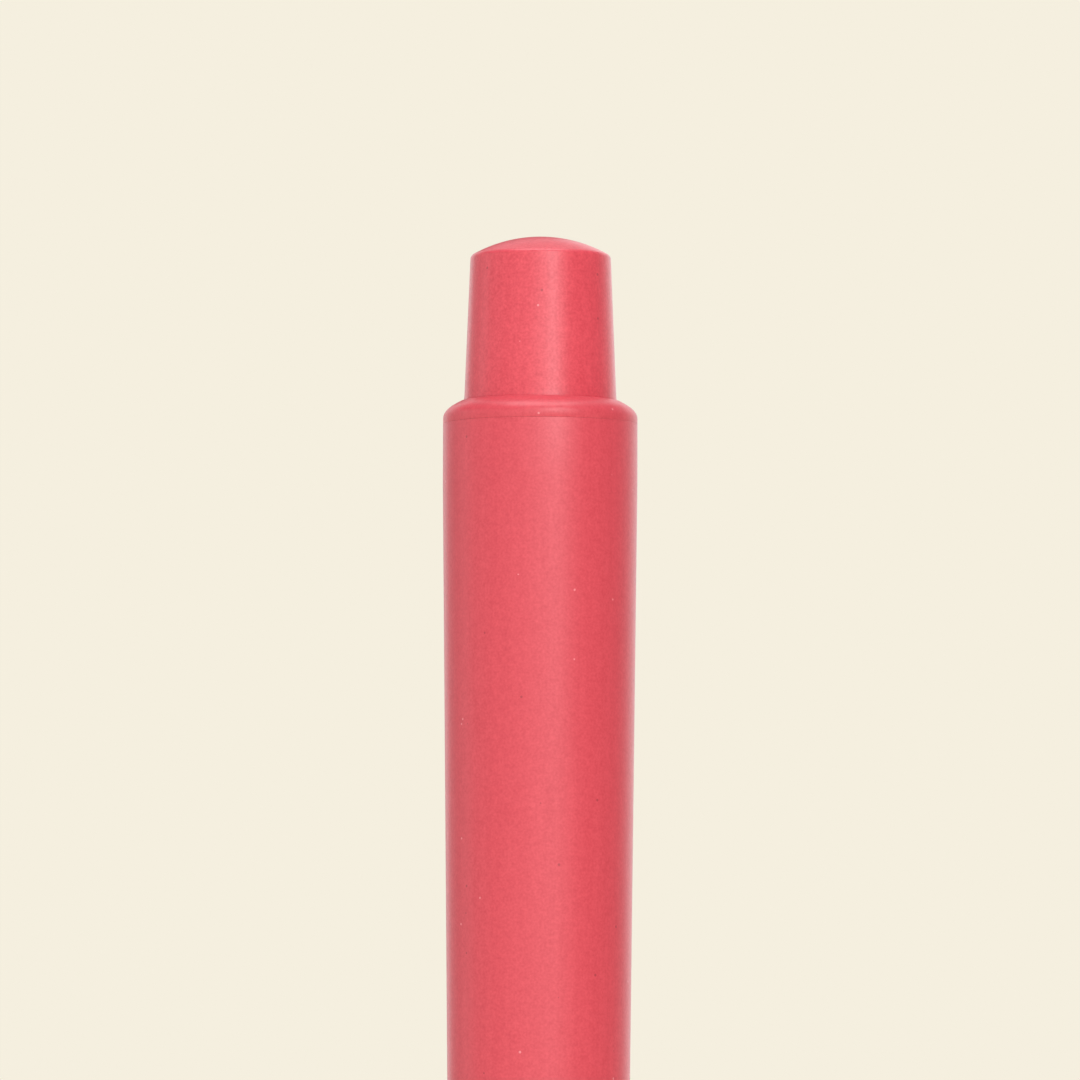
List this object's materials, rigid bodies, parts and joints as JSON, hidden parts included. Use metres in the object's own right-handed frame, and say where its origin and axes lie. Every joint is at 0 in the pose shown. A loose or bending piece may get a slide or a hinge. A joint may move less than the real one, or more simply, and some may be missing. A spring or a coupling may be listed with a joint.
{
  "type": "retractable highlighter pen",
  "caption": "Round retractable highlighter with a domed push button, click mechanism, sprung ink cartridge and a chisel nib that retracts behind a slit seal.",
  "frame": {"origin": "centre of the nose rim's lowest plane, with the nib retracted, which is the centre of the bounding box's bottom face", "axes": "+Z along the pen's axis from the nose to the push button; the nib's wide side lies along Y"},
  "size_m": [0.015, 0.015, 0.142],
  "materials": {
    "casing": "fine matte coral-red moulded plastic",
    "mechanism": "natural white moulded plastic",
    "clear_plastic": "translucent extruded tube",
    "film": "thin clear film",
    "ink_fibre": "fibre bundle soaked in fluorescent coral ink",
    "nib_fibre": "bonded fibre, fluorescent coral",
    "elastomer": "satin black elastomer",
    "spring_steel": "drawn spring wire"
  },
  "bodies": {
    "barrel": {"barrel": "casing", "end_collar": "casing", "nose_section": "casing", "cam_sleeve": "mechanism", "sleeve_cap": "mechanism", "seal_chamber": "mechanism", "slit_seal": "elastomer", "seal_clamp_ring": "mechanism", "return_spring": "spring_steel"},
    "button": {"push_button": "casing", "thrust_cam": "mechanism"},
    "cartridge": {"rear_plug": "mechanism", "reservoir_tube": "clear_plastic", "core_film": "film", "ink_core": "ink_fibre", "nib_holder": "mechanism", "nib": "nib_fibre", "sliding_o_ring": "elastomer", "spring_washer": "spring_steel"},
    "rotor": {"rotor": "mechanism"}
  },
  "joints": [
    {"name": "button_press", "type": "slide", "parent": "barrel", "child": "button", "axis": [0, 0, -1], "range_m": [0, 0.0105], "stiffness_N_per_m": 250, "springref_m": -0.008},
    {"name": "cartridge_slide", "type": "slide", "parent": "barrel", "child": "cartridge", "axis": [0, 0, -1], "range_m": [0, 0.0095], "deforming": ["return_spring", "slit_seal"]},
    {"name": "rotor_turn", "type": "hinge", "parent": "cartridge", "child": "rotor", "pos_m": [0, 0, 0.095], "axis": [0, 0, 1], "range_deg": [0, 20]}
  ],
  "couplings": [
    {"joint": "cartridge_slide", "follows": "button_press", "ratio": 0.9047},
    {"joint": "rotor_turn", "follows": "button_press", "rad_per_m": 33.24}
  ]
}
